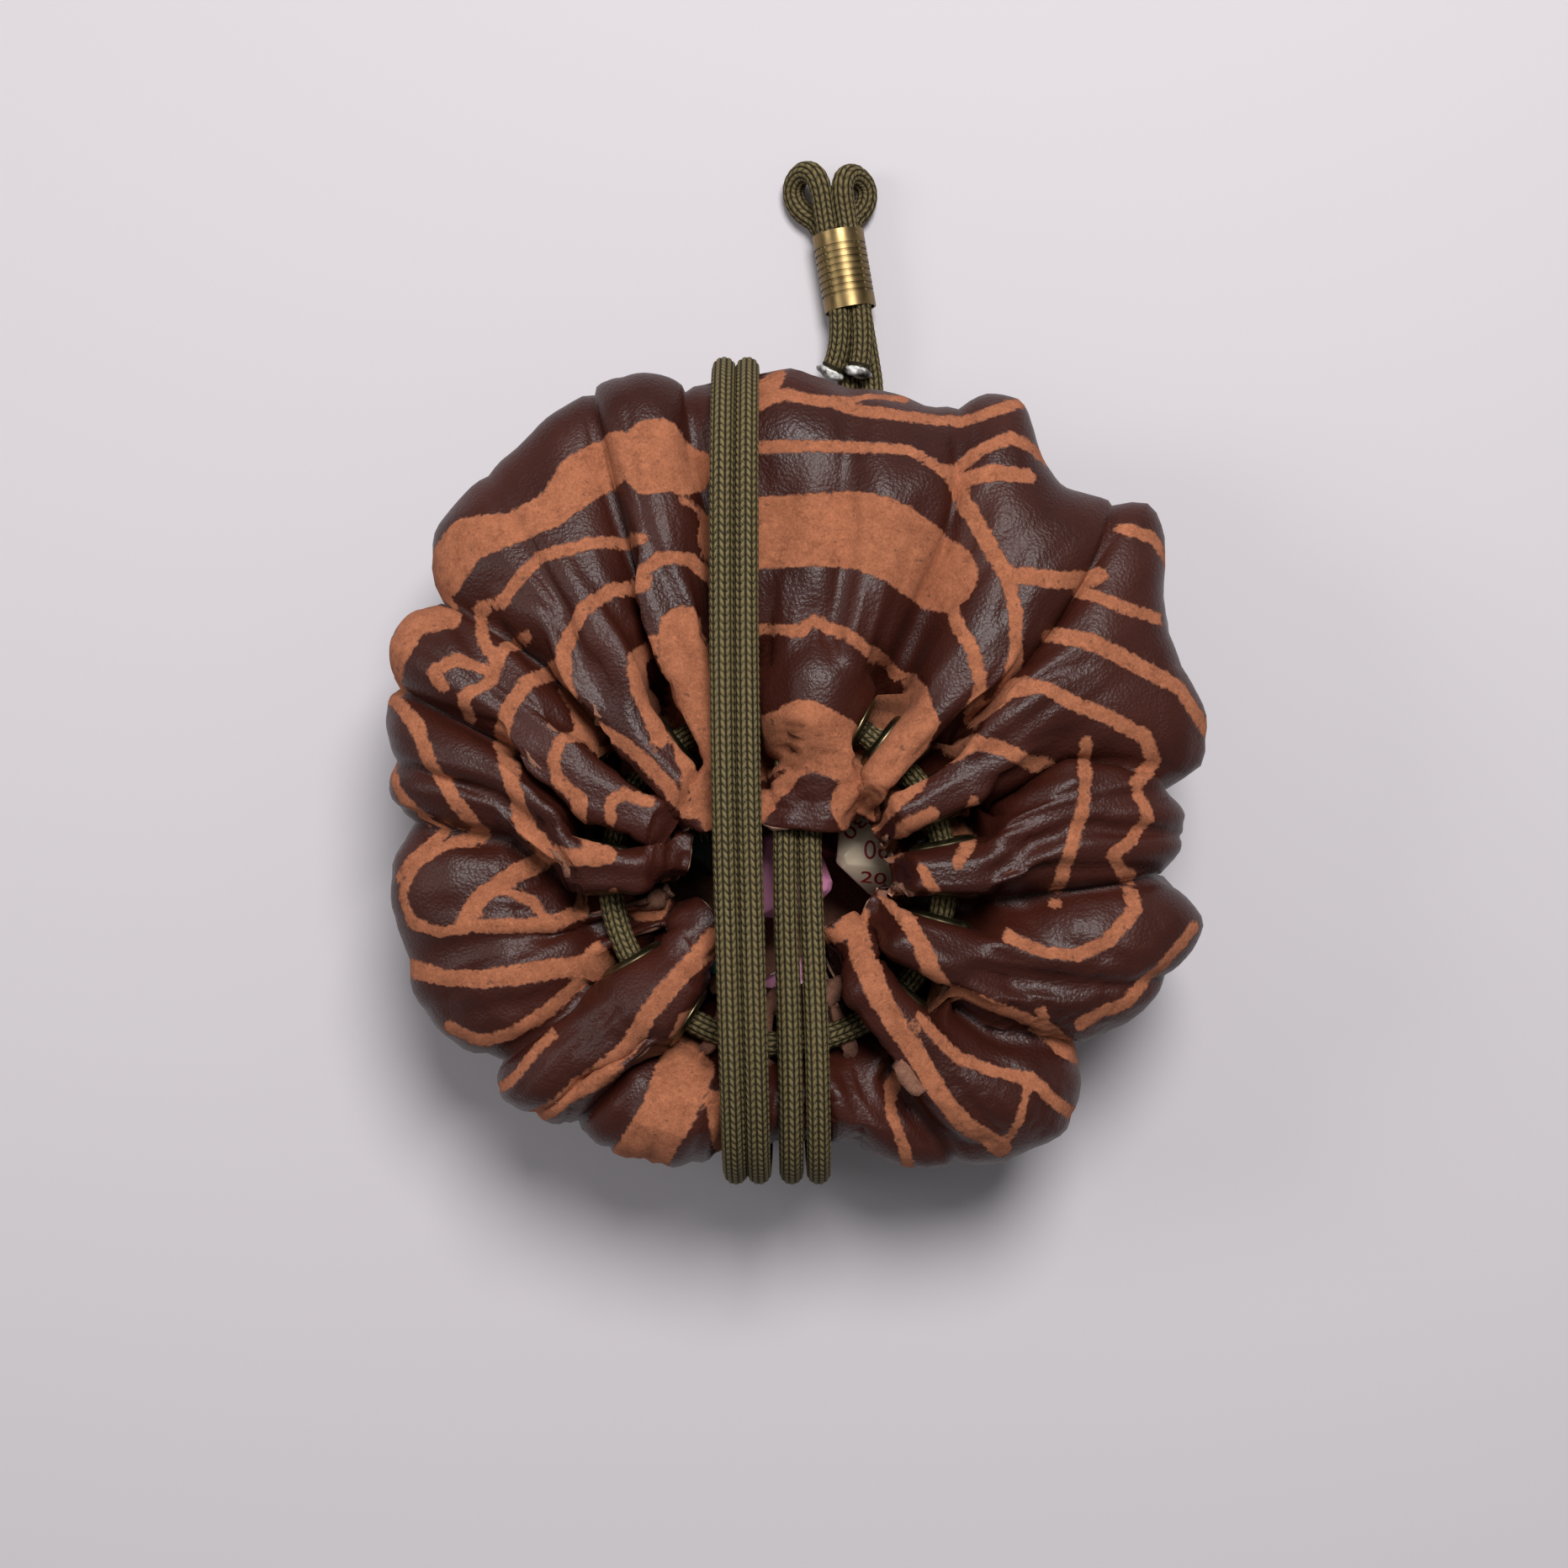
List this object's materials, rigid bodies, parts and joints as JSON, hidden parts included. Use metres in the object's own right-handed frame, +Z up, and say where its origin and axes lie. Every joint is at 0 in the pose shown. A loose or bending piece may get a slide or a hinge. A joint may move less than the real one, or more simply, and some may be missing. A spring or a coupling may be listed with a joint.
{
  "type": "drawstring dice bag",
  "caption": "Gathered leather drawstring pouch of dice, closed by a braided cord through brass eyelets, wound round and ended in a brass ferrule.",
  "frame": {"origin": "middle of the bag's base, on the surface it stands on", "axes": "+Z up through the mouth, +Y towards the folded cord ends and their ferrule, +X to the right seen from the front"},
  "size_m": [0.1528, 0.2031, 0.0697],
  "materials": {
    "leather": "semi-gloss pebbled, with raw suede stripes",
    "antique_brass": "antiqued, satin",
    "cord": "braided nylon, matt",
    "melted_nylon": "melted and re-set",
    "ferrule_brass": "turned, polished",
    "pink_dice": "gloss",
    "cream_dice": "gloss",
    "green_dice": "gloss"
  },
  "bodies": {
    "pouch": {"leather_pouch": "leather", "eyelet_01": "antique_brass", "eyelet_02": "antique_brass", "eyelet_03": "antique_brass", "eyelet_04": "antique_brass", "eyelet_05": "antique_brass", "eyelet_06": "antique_brass", "eyelet_07": "antique_brass", "eyelet_08": "antique_brass", "eyelet_09": "antique_brass", "eyelet_10": "antique_brass", "eyelet_11": "antique_brass", "eyelet_12": "antique_brass", "eyelet_13": "antique_brass", "eyelet_14": "antique_brass", "eyelet_15": "antique_brass", "eyelet_16": "antique_brass", "eyelet_17": "antique_brass", "eyelet_18": "antique_brass", "eyelet_19": "antique_brass", "eyelet_20": "antique_brass", "eyelet_21": "antique_brass", "eyelet_22": "antique_brass", "eyelet_washers": "antique_brass", "drawstring_ring": "cord", "left_wrap": "cord", "right_wrap": "cord", "pink_d4": "pink_dice", "pink_d6": "pink_dice", "pink_d8": "pink_dice", "pink_d10": "pink_dice", "pink_d12": "pink_dice", "pink_d20": "pink_dice", "pink_percentile": "pink_dice", "cream_d4": "cream_dice", "cream_d6": "cream_dice", "cream_d8": "cream_dice", "cream_d10": "cream_dice", "cream_d12": "cream_dice", "cream_d20": "cream_dice", "cream_percentile": "cream_dice", "green_d4": "green_dice", "green_d6": "green_dice", "green_d8": "green_dice", "green_d10": "green_dice", "green_d12": "green_dice", "green_d20": "green_dice", "green_percentile": "green_dice"},
    "cord_tail": {"left_tail": "cord", "right_tail": "cord", "left_melted_tip": "melted_nylon", "right_melted_tip": "melted_nylon"},
    "ferrule": {"brass_ferrule": "ferrule_brass"}
  },
  "joints": [
    {"name": "tail_swing", "type": "hinge", "parent": "pouch", "child": "cord_tail", "pos_m": [0.0113, 0.056, 0.0044], "axis": [0, 0, 1], "range_deg": [-20, 20]},
    {"name": "ferrule_slide", "type": "slide", "parent": "cord_tail", "child": "ferrule", "axis": [0.1664, -0.9861, 0], "range_m": [0, 0.004]}
  ]
}
